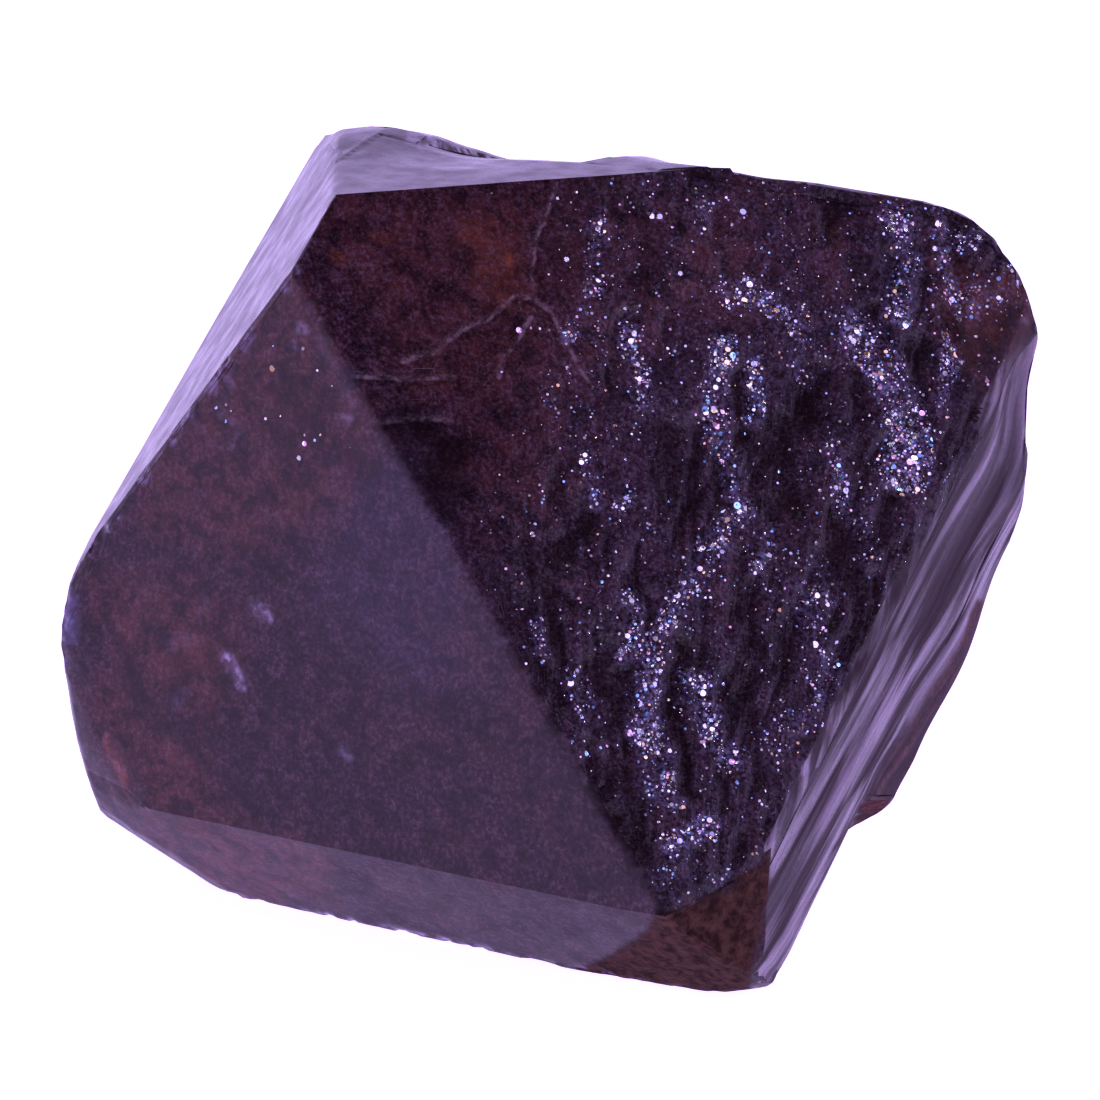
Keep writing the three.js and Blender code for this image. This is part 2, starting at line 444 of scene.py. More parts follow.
# Rust stains, and on the right face's upper left a painted glow of light through the stone.
RUST_AND_GLOW_SPOTS = [  # (face, path, half width, strength)
    ("upper_front", [(106, 740), (113, 754), (118, 770), (120, 792)], 7, 0.42),
    ("upper_front", [(180, 660), (190, 650)], 14, 0.08),
    ("upper_right", [(480, 235), (500, 262), (492, 285)], 22, 0.14),
    ("upper_right", [(334, 257), (340, 260)], 6, 0.25),
    ("upper_right", [(376, 238), (385, 240)], 8, 0.15),
    ("upper_right", [(508, 256), (511, 264)], 4, 0.5),
    ("upper_right", [(985, 320), (1012, 300)], 40, 0.13),
]
PALE_MARKS = [  # in the same form
    ("upper_front", [(229, 660), (235, 672), (242, 685)], 6, 0.9),
    ("upper_front", [(253, 604), (260, 610), (267, 616)], 5, 0.75),
    ("upper_front", [(66, 610), (70, 622)], 5, 0.4),
    ("upper_front", [(106, 738), (113, 754), (118, 770)], 6, 0.16),
    ("upper_front", [(206, 604), (200, 616)], 5, 0.09),
    ("upper_front", [(168, 645), (192, 638)], 7, 0.08),
    ("upper_front", [(174, 704), (188, 692)], 7, 0.08),
    ("upper_front", [(341, 752), (349, 757)], 4, 0.25),
    ("upper_front", [(494, 636), (500, 645)], 4, 0.25),
    ("upper_front", [(229, 374), (231, 384)], 6, 0.14),
    ("upper_front", [(223, 399), (223, 413)], 4, 0.18),
    ("upper_front", [(228, 418), (240, 430), (228, 448)], 5, 0.09),
    ("upper_front", [(300, 326), (302, 330)], 4, 0.35),
    ("upper_front", [(293, 344), (294, 348)], 4, 0.3),
    ("upper_front", [(343, 417), (349, 420)], 4, 0.3),
    ("upper_front", [(315, 330), (330, 358), (346, 390), (352, 410)], 6, 0.05),
]
# Painted shade: darker streaks where the faces reflect less light.
SHADE_STREAKS = [  # in the same form
    ("upper_front", [(104, 600), (108, 622), (122, 655), (137, 685), (150, 704)], 6, 0.75),
    ("upper_front", [(158, 712), (163, 724)], 9, 0.5),
    ("upper_front", [(176, 738), (198, 754)], 7, 0.7),
    ("upper_front", [(224, 774), (245, 798), (255, 810)], 8, 0.65),
    ("upper_front", [(174, 655), (182, 668)], 8, 0.4),
    ("upper_front", [(210, 650), (220, 680)], 9, 0.4),
    ("upper_front", [(283, 380), (278, 440)], 14, 0.5),
    ("upper_front", [(312, 395), (316, 440)], 11, 0.35),
    ("upper_front", [(350, 455), (372, 468)], 13, 0.6),
    ("upper_right", [(985, 340), (1000, 365)], 13, 0.8),
    ("upper_right", [(962, 378), (972, 420), (950, 465)], 14, 0.7),
]
# Where sparse glints are painted on the front face.
SPARKLE_ZONES = [([(285, 300), (300, 330), (375, 445), (300, 455), (200, 440), (240, 370)], 10, 0.13)]
# Painted sheen: lilac patches where the faces reflect more light.
SHEEN_ZONES = [
    ([(340, 470), (400, 440), (470, 560), (480, 680), (400, 700), (310, 600)], 40, 0.05),
    ([(80, 810), (300, 850), (300, 900), (130, 860)], 25, 0.03),
    ([(60, 595), (78, 595), (78, 640), (60, 640)], 5, 0.30),
]
SHADE_ZONES = [  # on the striated face, beside the etched one
    ([(1000, 300), (1024, 300), (1012, 400), (990, 450), (962, 505), (942, 560), (905, 605), (860, 655),
      (832, 700), (826, 640), (898, 570), (975, 440)], 14, 0.9),
    ([(1002, 375), (1026, 375), (1028, 440), (1022, 505), (1002, 508), (1000, 440)], 9, 0.75),
    ([(838, 705), (870, 692), (875, 768), (844, 788)], 9, 0.5),
]
PALE_ZONES = [([(405, 128), (445, 128), (475, 142), (470, 152), (405, 145)], 4, 0.9)]
FOOT = [(585, 968), (612, 955), (640, 938), (655, 922), (672, 908), (700, 900), (730, 890), (742, 868),
        (770, 858), (772, 890), (760, 925), (756, 955), (746, 1000), (700, 1015), (600, 1000)]
DULL_ZONES = [
    ([(972, 288), (1028, 284), (1034, 330), (1012, 352), (985, 400), (960, 380)], 8, 1.0),
    ([(835, 850), (870, 795), (905, 735), (972, 600), (1000, 610), (950, 720), (900, 830)], 5, 1.0),
]
# Where the etched surface runs on past the edge, over the prism face.
ETCH_SPILL = [(1000, 300), (1012, 345), (984, 400), (978, 440), (947, 505), (925, 542), (898, 577),
              (858, 625), (838, 640), (826, 700), (790, 730), (850, 560)]

# Swells and dents that the outline shows: (face, pixel, radius in mm, height in mm).
SWELLS = [
    ("upper_back", (360, 137), 3.6, 0.22),
    ("shoulder_back", (630, 165), 2.4, 0.26),
    ("upper_back", (500, 150), 3.2, -0.08),
    ("upper_back", (450, 150), 2.6, -0.12),
    ("shoulder_back", (760, 172), 1.8, -0.10),
    ("prism_right", (1028, 342), 0.9, 0.12),
    ("prism_right", (1026, 420), 2.4, -0.26),
    ("prism_right", (1015, 480), 3.6, 0.16),
    ("prism_right", (965, 655), 2.8, 0.26),
    ("prism_right", (895, 790), 1.4, -0.16),
    ("prism_right", (775, 975), 1.2, -0.10),
    ("upper_front", (66, 620), 2.0, 0.14),
    ("upper_front", (75, 740), 1.6, 0.14),
]

# Chipped edges: the two faces, how deep the chips are and how far they reach from the edge.
CHIPPED_EDGES = [
    ("upper_front", "upper_left", 1.0, 0.25),
    ("upper_front", "prism_left", 0.7, 0.35),
    ("upper_front", "upper_right", 0.35, 0.12),
    ("upper_right", "prism_right", 0.5, 0.2),
    ("prism_front", "base", 1.0, 0.3),
]

# Edges that are sharp: (face whose plane is kept, face that is carried on to meet it).
SQUARED_EDGES = [("upper_right", "upper_back"), ("prism_front", "upper_front")]

TROUGH_DEPTH, RIDGE_HEIGHT = 0.10, 0.02
LAYER_GAP = 0.05  # a growth layer's side this near a face is level with it
BEVEL = 0.15  # the most that the bevel of a sharp edge lies inside its faces
FACE_REACH = 0.3  # how far past an edge a face's relief fades out
SPARED_REACH = 0.5  # and how far short of a spared face
GRAIN_STRETCH = 7.0  # how long the streaks of a streaked face are, for their width
CALM_SHARE = 0.85  # the part of the etched relief that dies out near the sharp edges
STRAY_GLITTER = 0.10  # glitter on the etched face outside its bands
BEND_START = -11.8  # where along a1 the growth lines begin to curve
RUBBLE_SIZE, WORN_RUBBLE, FOOT_RUBBLE = 0.4, 0.04, 0.10
NICK_SIZE, NICK_DEPTH = 0.35, 0.07
FAR_OFF = 1.0  # a crack offset that no crack is drawn at
WORN_FROM, WORN_TO = -0.06, -0.2  # how far below every face a vertex on a worn corner lies
MASKS = ("etch", "glitter", "painted_shade", "crack_near", "warm", "rust_and_glow", "painted_sheen", "foot", "dull", "chip")


def offsets_from(path, where):
    """For each point, the vector to it from the nearest point of a path."""
    best = np.full(len(where), np.inf)
    vectors = np.zeros_like(where)
    for a, b in zip(path, path[1:]):
        t = np.clip((where - a) @ (b - a) / ((b - a) @ (b - a)), 0, 1)
        away = where - (a + t[:, None] * (b - a))
        distance = np.linalg.norm(away, axis=1)
        nearer = distance < best
        best[nearer], vectors[nearer] = distance[nearer], away[nearer]
    return vectors, best


def stroke(face, path, half_width, where):
    """How much each point is on a path across a face: 1 along its middle, 0 past its sides."""
    _, distance = offsets_from(on_face(face, *path), where)
    reach = half_width / PIXELS_PER_MM
    return ramp(1.7 * reach, 0.2 * reach, distance)


def strokes(features, where, face):
    """Several strokes on one face at once, each (path, half width, strength)."""
    marks = [strength * stroke(face, path, width, where) for path, width, strength in features]
    return np.maximum.reduce(marks)


def warped(where, size, amount, seed):
    """Points moved about by noise, so that what is drawn round them has natural edges."""
    moves = [fractal(where / size, seed + 10 * k, 2) - 0.5 for k in range(3)]
    return where + 2 * amount * np.stack(moves, axis=1)


def triangle_normals(verts, faces):
    """As long as the triangles are large."""
    a, b, c = verts[faces].transpose(1, 0, 2)
    return np.cross(b - a, c - a)


def vertex_normals(verts, faces):
    turned = triangle_normals(verts, faces)
    total = np.zeros_like(verts)
    for k in range(3):
        np.add.at(total, faces[:, k], turned)
    return total / np.linalg.norm(total, axis=1, keepdims=True)


outward = vertex_normals(verts, faces)
seen = ramp(-0.05, 0.1, outward @ BACK)
seen_from = on_photo(warped(verts, 0.7, 0.14, 401))


def zone(outline, softness):
    """How much each vertex is inside an outline drawn on the photograph."""
    x, y = seen_from.T
    within = np.zeros(len(x), bool)
    nearest = np.full(len(x), np.inf)
    for (x0, y0), (x1, y1) in zip(outline, outline[1:] + outline[:1]):
        crossing = (y0 > y) != (y1 > y)
        rise = y1 - y0 if y1 != y0 else 1
        within ^= crossing & (x < x0 + (y - y0) * (x1 - x0) / rise)
        square = math.dist((x0, y0), (x1, y1)) ** 2
        t = np.clip(((x - x0) * (x1 - x0) + (y - y0) * (y1 - y0)) / square, 0, 1)
        nearest = np.minimum(nearest, np.hypot(x - x0 - t * (x1 - x0), y - y0 - t * (y1 - y0)))
    signed = np.where(within, nearest, -nearest)
    return ramp(-softness, softness, signed) * seen


def zones(features):
    """Several zones at once, each (outline, softness in pixels, strength)."""
    marks = [strength * zone(outline, softness) for outline, softness, strength in features]
    return np.maximum.reduce(marks)


# ---- Relief -------------------------------------------------

depth = verts @ normals.T - offsets  # from each face's plane, negative inside
reach = ramp(-FACE_REACH, 0, depth)
outermost = depth.max(1)
worn = ramp(WORN_FROM, WORN_TO, outermost)


def face_weight(name, *spared):
    """How much a vertex takes part in a face's relief, which fades out towards the spared faces."""
    weight = reach[:, names.index(name)] * (1 - worn)
    for other in spared:
        weight = weight * ramp(0, -SPARED_REACH, depth[:, names.index(other)])
    return weight


flush = np.zeros_like(verts)  # brings a growth layer's sides level with the faces they continue
for number, (_, normal, offset, _) in enumerate(groups):
    gap = planes[nearest_face(normal)][1] - offset
    if is_face(groups[number]) and 0 < gap < LAYER_GAP:
        flush[np.unique(faces[owner == number])] += gap * normal
# A sharp edge's bevel slides along one of its faces until it is level with the other.
for kept, continued in SQUARED_EDGES:
    ends = [names.index(kept), names.index(continued)]
    slide = normals[ends[1]] - normals[ends[0]] * (normals[ends[0]] @ normals[ends[1]])
    on_bevel = np.zeros(len(verts), bool)
    for number, group in enumerate(groups):
        rows = np.unique(faces[owner == number])
        if not is_face(group) and abs(depth[rows][:, ends]).max() < BEVEL:
            on_bevel[rows] = True
    flush[on_bevel] -= depth[on_bevel, ends[1]][:, None] * slide / (slide @ slide)
levelled = verts + flush

moved = np.zeros_like(verts)
masks = {name: np.zeros(len(verts)) for name in MASKS}
crack_offset = np.full_like(verts, FAR_OFF)
grain = verts.copy()  # where a vertex is along and across the streaks of its face


def etched_relief():
    """Troughs and ridges that fan across the etched face, with painted shade in the troughs."""
    name = "upper_right"
    normal, _ = planes[name]
    weight = face_weight(name)
    calm = face_weight(name, "upper_back", "shoulder_back")
    on = np.flatnonzero(weight > 0)
    where = verts[on]
    loose = warped(where, 0.9, 0.3, 11)
    centre = on_face(name, FAN_CENTRE)[0]
    mid = unit(on_face(name, (700, 500))[0] - centre)
    side = np.cross(normal, mid)
    from_centre = warped(where, 2.6, 0.4, 31) - centre
    radius = np.linalg.norm(from_centre, axis=1)
    angle = np.arctan2(from_centre @ side, from_centre @ mid)
    across, along = angle * 22.0, radius
    flat = along * 0
    wave = 0.45 * noise(np.stack([across / 0.85, along / 2.4, flat], axis=1), 51)
    wave += 0.33 * noise(np.stack([across / 0.40, along / 1.1, flat], axis=1), 57)
    wave += 0.22 * noise(np.stack([across / 0.20, along / 0.7, flat], axis=1), 61)
    grain[on] = np.stack([across, along / GRAIN_STRETCH, flat], axis=1)
    edge = on_face(name, *ETCH_EDGE)
    edge_vectors, _ = offsets_from(edge, warped(where, 2.0, 0.5, 71))
    past = edge_vectors @ unit(on_face(name, (900, 400))[0] - on_face(name, (500, 400))[0])
    mask = ramp(-1.2, 1.2, past)
    broken = ramp(0.36, 0.64, fractal(loose / 0.5, 95, 2))
    bands = strokes(GLITTER, loose, name) * (0.5 + 0.8 * broken)
    dips = strokes(TROUGHS, loose, name)
    low = np.maximum(0.8 * ramp(0.52, 0.34, wave) * mask, dips) * (1 - 0.8 * bands)
    rough = fractal(where / 0.28, 81, 3) - 0.5
    soft = fractal(where / 1.6, 91, 2) - 0.5
    height = -TROUGH_DEPTH * low * (0.35 + 0.65 * mask)
    height += mask * (0.12 * (wave - 0.5) + RIDGE_HEIGHT * bands)
    height += rough * 0.09 * (0.12 + mask * (0.5 + 0.5 * bands)) * (1 - 0.6 * low)
    height += soft * 0.10
    shared = (1 - CALM_SHARE) * weight[on] + CALM_SHARE * calm[on]
    moved[on] += (shared * height)[:, None] * normal
    masks["etch"][on] = mask * weight[on]
    # The troughs get painted shade: their colour is darkened towards DEEP.
    masks["painted_shade"][on] = low * weight[on]
    scattered = STRAY_GLITTER * mask * (1 - low)
    masks["glitter"][on] = np.maximum(np.minimum(bands, 1), scattered) * weight[on]


def draw_cracks(face, paths, sink):
    """Notes how far each vertex is from the nearest crack, and sinks the surface there."""
    weight = face_weight(face)
    on = np.flatnonzero(weight > 0)
    where = warped(verts[on], 0.5, 0.05, 101)
    best = np.full(len(on), np.inf)
    for path in paths:
        vectors, distance = offsets_from(on_face(face, *path), where)
        nearer = distance < best
        best[nearer] = distance[nearer]
        crack_offset[on[nearer]] = vectors[nearer]
    masks["crack_near"][on] = np.maximum(masks["crack_near"][on], ramp(0.6, 0.4, best) * weight[on])
    moved[on] -= (weight[on] * sink * ramp(0.12, 0, best))[:, None] * planes[face][0]


def lined_relief(name, coarse, fine, stretch, turn=0.0, bend=0.0):
    """Growth lines near a1 on a face that contains it: (width, depth) of two sizes of line."""
    normal, _ = planes[name]
    weight = face_weight(name)
    on = np.flatnonzero(weight > 0)
    where = verts[on]
    line = unit(A1 - normal * (A1 @ normal))
    aside = np.cross(normal, line)
    cos, sin = math.cos(math.radians(turn)), math.sin(math.radians(turn))
    line, aside = cos * line + sin * aside, cos * aside - sin * line
    along = where @ line
    across = where @ aside + bend * np.maximum(BEND_START - along, 0) ** 2
    flat = along * 0
    height = np.zeros(len(on))
    for seed, (width, depth_of) in enumerate((coarse, fine)):
        stripes = np.stack([across / width, along / (width * stretch), flat], axis=1)
        wave = noise(stripes + 0.25 * (noise(stripes * 0.7, 5)[:, None] - 0.5), 131 + seed)
        height += depth_of * (wave - 0.5)
    grain[on] = np.stack([across, along / (2 * GRAIN_STRETCH), flat], axis=1)
    moved[on] += (weight[on] * height)[:, None] * normal


def grown_relief(name, size, height, seed, *spared):
    """The faint swells and shallow steps of a face that grew smooth."""
    normal, _ = planes[name]
    weight = face_weight(name, *spared)
    swell = fractal(verts / size, seed, 3) - 0.5
    moved[:] += (weight * height * swell)[:, None] * normal


lined_relief("prism_left", (0.9, 0.08), (0.35, 0.03), 12)
lined_relief("upper_left", (0.7, 0.012), (0.33, 0.008), 25)
lined_relief("prism_right", (1.1, 0.20), (0.45, 0.07), 9, -4, 0.25)
etched_relief()
draw_cracks("upper_right", CRACKS, 0.03)
grown_relief("upper_front", 2.6, 0.06, 201)
grown_relief("upper_back", 2.0, 0.016, 211)
grown_relief("shoulder_back", 1.8, 0.08, 221, "upper_right", "upper_back")
grown_relief("prism_front", 1.8, 0.04, 231)
grown_relief("lower_right", 1.4, 0.16, 241, "prism_right")
grown_relief("lower_back", 1.6, 0.20, 251, "prism_right")
grown_relief("lower_left", 1.6, 0.16, 261)

moved += flush
masks["warm"][:] = np.maximum(zones(WARM_ZONES), 0.35 * (1 - seen))
masks["painted_sheen"][:] = zones(SHEEN_ZONES)
masks["foot"][:] = zone(FOOT, 5)
masks["painted_shade"][:] = np.maximum(masks["painted_shade"], zones(SHADE_ZONES))
masks["dull"][:] = zones(DULL_ZONES)
masks["glitter"][:] = np.maximum(masks["glitter"], zones(SPARKLE_ZONES))
ragged = warped(verts, 0.5, 0.12, 421)
for name, spots in (("rust_and_glow", RUST_AND_GLOW_SPOTS), ("painted_shade", SHADE_STREAKS)):
    for face, path, half_width, strength in spots:
        masks[name] = np.maximum(masks[name], strength * stroke(face, path, half_width, ragged) * seen)


def chipped_edges():
    """How near each vertex is to an edge that has chips, as a weight."""
    most = np.zeros(len(verts))
    for a, b, strength, spread in CHIPPED_EDGES:
        lower = np.minimum(depth[:, names.index(a)], depth[:, names.index(b)])
        most = np.maximum(most, strength * ramp(-spread, 0, lower))
    return most


rubble = fractal(verts / RUBBLE_SIZE, 301, 3) - 0.5
rubble *= WORN_RUBBLE * worn + FOOT_RUBBLE * masks["foot"]
moved += rubble[:, None] * outward
nicks = ramp(0.50, 0.68, fractal(verts / NICK_SIZE, 311, 2)) * chipped_edges() * (1 - worn)
moved -= (NICK_DEPTH * nicks)[:, None] * outward
masks["chip"][:] = np.maximum(nicks, zones(PALE_ZONES))
for face, path, half_width, strength in PALE_MARKS:
    masks["chip"] = np.maximum(masks["chip"], strength * stroke(face, path, half_width, ragged) * seen)
for face, pixel, radius, height in SWELLS:
    distance = np.linalg.norm(verts - on_face(face, pixel)[0], axis=1)
    moved += (height * ramp(radius, 0, distance))[:, None] * planes[face][0]

shaped = verts + moved
shaped[:, 2] = np.maximum(shaped[:, 2], 0)  # nothing reaches below the surface it lies on

# ---- The piece ----------------------------------------------

SHARP = math.radians(42)

mesh = bpy.data.meshes.new("zircon_crystal")
mesh.from_pydata((shaped * MM).tolist(), [], faces.tolist())
for name, values in masks.items():
    mesh.attributes.new(name, "FLOAT", "POINT").data.foreach_set("value", values)
for name, values in (("crack_offset", crack_offset), ("grain", grain)):
    mesh.attributes.new(name, "FLOAT_VECTOR", "POINT").data.foreach_set("vector", values.ravel())
mesh.polygons.foreach_set("use_smooth", np.ones(len(faces), bool))
mesh.set_sharp_from_angle(angle=SHARP)

KINDS = ["smooth", "etched", "striated", "dull"]
FOOT_SHARE = 0.3  # a broken plane with more of the foot than this is dull
facing = triangle_normals(levelled, faces)
kind_of_group = []
for number, group in enumerate(groups):
    own = owner == number
    kind = FACES[nearest_face(unit(facing[own].sum(0)))][3]
    if not is_face(group) and masks["foot"][faces[own]].mean() > FOOT_SHARE:
        kind = "dull"
    kind_of_group.append(KINDS.index(kind))
kinds = np.array(kind_of_group)[owner]
spilled = zone(ETCH_SPILL, 2)[faces].mean(1) > 0.5
kinds[spilled & (kinds == KINDS.index("striated"))] = KINDS.index("etched")
mesh.polygons.foreach_set("material_index", kinds.astype(np.int32))

crystal = bpy.data.objects.new("zircon_crystal", mesh)
bpy.context.scene.collection.objects.link(crystal)
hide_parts("crystal")
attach(crystal, "root")

# ---- Materials ----------------------------------------------

IOR = 1.95

# How strongly each kind of face reflects, as the shader's Specular IOR Level.
SMOOTH_GLOSS, ETCHED_GLOSS, STRIATED_GLOSS, DULL_GLOSS = 0.09, 0.08, 0.21, 0.027

# Sizes of the cells that hold one painted glint each, in millimetres.
STRAY_GLINT, BIG_GLINT, SMALL_GLINT = 0.15, 0.168, 0.080


class Shader:
    """A material's node tree, with short ways to add nodes and link them."""

    def __init__(self, name):
        self.material = bpy.data.materials.new(name)
        self.material.use_nodes = True
        self.tree = self.material.node_tree
        self.surface = self.tree.nodes["Principled BSDF"]
        place = self.tree.nodes.new("ShaderNodeTexCoord").outputs["Object"]
        self.place = self.scaled(place, 1 / MM)  # in millimetres

    def link(self, value, socket):
        if isinstance(value, bpy.types.NodeSocket):
            self.tree.links.new(value, socket)
        elif value is not None:
            socket.default_value = value

    def node(self, kind, inputs, output=0, **settings):
        node = self.tree.nodes.new("ShaderNode" + kind)
        for name, value in settings.items():
            setattr(node, name, value)
        for name, value in inputs.items():
            self.link(value, node.inputs[name])
        return node.outputs[output]

    def math(self, operation, a, b=0.0, clamp=False):
        return self.node("Math", {0: a, 1: b}, operation=operation, use_clamp=clamp)

    def vector(self, operation, a, b=None, output="Vector"):
        return self.node("VectorMath", {0: a, 1: b}, output, operation=operation)

    def scaled(self, a, scale):
        return self.node("VectorMath", {0: a, "Scale": scale}, "Vector", operation="SCALE")

    def attribute(self, name, output="Fac"):
        return self.node("Attribute", {}, output, attribute_name=name)

    def noise(self, size, detail=3.0, distortion=0.0, place=None, roughness=0.55, output="Fac"):
        inputs = {
            "Vector": place or self.place,
            "Scale": 1 / size,
            "Detail": detail,
            "Roughness": roughness,
            "Distortion": distortion,
        }
        return self.node("TexNoise", inputs, output)

    def channels(self, colour):
        split = self.tree.nodes.new("ShaderNodeSeparateColor")
        self.link(colour, split.inputs[0])
        return split.outputs

    def cells(self, size, shift):
        """Voronoi cells: two random colours for each, and the distance in cells."""
        place = self.vector("ADD", self.place, (shift, 2 * shift, 3 * shift))
        node = self.tree.nodes.new("ShaderNodeTexVoronoi")
        self.link(place, node.inputs["Vector"])
        node.inputs["Scale"].default_value = 1 / size
        other = self.node("TexWhiteNoise", {"Vector": node.outputs["Position"]}, "Color")
        return node.outputs["Color"], other, node.outputs["Distance"]

    def palette(self, value, *steps):
        """One of several colours, each from its own (start, colour) on."""
        node = self.tree.nodes.new("ShaderNodeValToRGB")
        node.color_ramp.interpolation = "CONSTANT"
        for number, (start, colour) in enumerate(steps):
            stops = node.color_ramp.elements
            stop = stops[number] if number < 2 else stops.new(start)
            stop.position, stop.color = start, (*colour, 1)
        self.link(value, node.inputs[0])
        return node.outputs[0]

    def ramp(self, value, low, high, start=0.0, end=1.0):
        inputs = {
            "Value": value,
            "From Min": low,
            "From Max": high,
            "To Min": start,
            "To Max": end,
        }
        return self.node("MapRange", inputs, interpolation_type="SMOOTHSTEP")

    def mix(self, factor, a, b):
        node = self.tree.nodes.new("ShaderNodeMix")
        node.data_type = "RGBA"
        self.link(factor, node.inputs[0])
        for value, socket in ((a, node.inputs[6]), (b, node.inputs[7])):
            value = (*value, 1.0) if isinstance(value, tuple) else value
            self.link(value, socket)
        return node.outputs[2]

    def blend(self, factor, a, b):
        """Mixes two numbers."""
        return self.node("Mix", {0: factor, 2: a, 3: b}, data_type="FLOAT")

    def bump(self, height, depth_mm, strength=1.0, normal=None):
        inputs = {"Height": height, "Distance": depth_mm * MM, "Strength": strength}
        if normal:
            inputs["Normal"] = normal
        return self.node("Bump", inputs, "Normal")

    def finish(self, colour, roughness, normal=None, metallic=None, **plain):
        self.link(colour, self.surface.inputs["Base Color"])
        self.link(roughness, self.surface.inputs["Roughness"])
        self.link(normal, self.surface.inputs["Normal"])
        self.link(metallic, self.surface.inputs["Metallic"])
        self.surface.inputs["IOR"].default_value = IOR
        for name, value in plain.items():
            self.surface.inputs[name.replace("_", " ")].default_value = value
        return self.material


DEEP = (0.0055, 0.0016, 0.0026)
PLUM = (0.016, 0.0042, 0.0085)
BROWN = (0.062, 0.016, 0.012)
RUST_AND_GLOW = (0.30, 0.078, 0.022)
# Painted sheen, on the smooth faces' sheen zones and the etched face's glint bands.
SHEEN_HAZE = (0.20, 0.18, 0.36)
# Painted sheen on the streaked faces.
SHEEN_LAVENDER = (0.27, 0.20, 0.28)
PALE = (0.42, 0.34, 0.50)
MOTTLE = (0.17, 0.10, 0.13)
SCAR = (0.34, 0.23, 0.26)
EARTH, DARK_EARTH = (0.058, 0.027, 0.019), (0.014, 0.005, 0.004)
# Colours of the painted glints.
WHITE, LILAC, SKY = (1.0, 1.0, 0.95), (0.72, 0.74, 1.0), (0.35, 0.66, 1.0)
PINK, PEACH = (1.0, 0.60, 0.78), (1.0, 0.66, 0.34)
LEAN = (0.5, 0.5, 0.85)  # the painted glints lean outwards and down, to the light from the table


def stone(s):
    """The stone: plum to red-brown and cloudy, with rusty, pale and earthy places, a painted glow of
    light through it in its warm and rust zones, and painted sheen in its sheen zones.
    """
    warm = s.math("ADD", s.attribute("warm"), s.ramp(s.noise(1.9, 5, 0.7), 0.3, 0.7, -0.2, 0.2), True)
    colour = s.mix(warm, PLUM, BROWN)
    cloud = s.noise(0.55, 6, 0.4, roughness=0.68)
    colour = s.mix(s.ramp(cloud, 0.36, 0.60, 0.85, 0), colour, DEEP)
    mottle = s.ramp(s.noise(0.12, 5, roughness=0.75), 0.42, 0.70, 0, 0.38)
    mottle = s.math("MULTIPLY", mottle, s.ramp(cloud, 0.36, 0.64, 0.30, 1))
    colour = s.mix(mottle, colour, MOTTLE)
    patchy = s.ramp(s.noise(0.3, 4), 0.35, 0.65)
    # Rust, and a painted glow of light through the stone.
    rust_and_glow = s.math("MULTIPLY", s.attribute("rust_and_glow"), s.ramp(patchy, 0, 1, 0.4, 1))
    colour = s.mix(rust_and_glow, colour, RUST_AND_GLOW)
    # Painted sheen in the sheen zones.
    painted_sheen = s.math("MULTIPLY", s.attribute("painted_sheen"), s.ramp(patchy, 0, 1, 0.5, 1))
    colour = s.mix(painted_sheen, colour, SHEEN_HAZE)
    earth = s.mix(s.ramp(s.noise(0.30, 6, 0.3, roughness=0.7), 0.34, 0.66), DARK_EARTH, EARTH)
    colour = s.mix(s.attribute("foot"), colour, earth)
    chip = s.math("MULTIPLY", s.attribute("chip"), s.ramp(patchy, 0, 1, 0.1, 0.8))
    colour = s.mix(chip, colour, PALE)
    wander = s.vector("SUBTRACT", s.noise(0.22, 3, output="Color"), (0.5, 0.5, 0.5))
    crack = s.vector("ADD", s.attribute("crack_offset", "Vector"), s.scaled(wander, 0.13))
    crack = s.vector("LENGTH", crack, output="Value")
    line = s.math("MULTIPLY", s.ramp(crack, 0.085, 0.015), s.attribute("crack_near"))
    line = s.math("MULTIPLY", line, s.ramp(patchy, 0.1, 1, 0.04, 0.34))
    return s.mix(line, colour, SCAR)


def glint_specks(s, size, shift, density, brightness):
    """Painted glints, bright tinted spots in the base colour, metallic and leaned so that they also
    reflect: (where they are, their colour, how far each leans).
    """
    first, second, distance = s.cells(size, shift)
    chance, width, light = s.channels(first)
    kind = s.channels(second)[0]
    chosen = s.math("LESS_THAN", chance, density)
    square = s.math("MULTIPLY", width, width)
    radius = s.node("Math", {0: square, 1: 0.36, 2: 0.2}, operation="MULTIPLY_ADD", use_clamp=False)
    mask = s.math("MULTIPLY", chosen, s.math("LESS_THAN", distance, radius))
    tint = s.palette(
        kind, (0, WHITE), (0.45, LILAC), (0.68, SKY), (0.82, PINK), (0.92, PEACH)
    )
    bright = s.ramp(light, 0, 1, 0.25 * brightness, brightness)
    colour = s.vector("MULTIPLY", tint, s.node("CombineColor", {0: bright, 1: bright, 2: bright}))
    lean = s.scaled(s.vector("SUBTRACT", second, LEAN), mask)
    return mask, colour, lean


def smooth_material():
    s = Shader("zircon_smooth_faces")
    # Painted shade: the shade streaks are darkened towards DEEP.
    colour = s.mix(s.math("MULTIPLY", s.attribute("painted_shade"), 0.9), stone(s), DEEP)
    # Painted glints: sparse bright specks on the front face.
    mask, tint, lean = glint_specks(s, STRAY_GLINT, 3.0, s.math("MULTIPLY", s.attribute("glitter"), 0.5), 1.0)
    colour = s.mix(mask, colour, tint)
    roughness = s.ramp(s.noise(0.8, 4), 0.3, 0.7, 0.22, 0.34)
    roughness = s.blend(mask, roughness, 0.12)
    normal = s.bump(s.noise(0.12, 3), 0.004)
    normal = s.vector("NORMALIZE", s.vector("ADD", normal, lean))
    metallic = s.math("MULTIPLY", mask, 0.9)
    return s.finish(colour, roughness, normal, metallic, Specular_IOR_Level=SMOOTH_GLOSS)


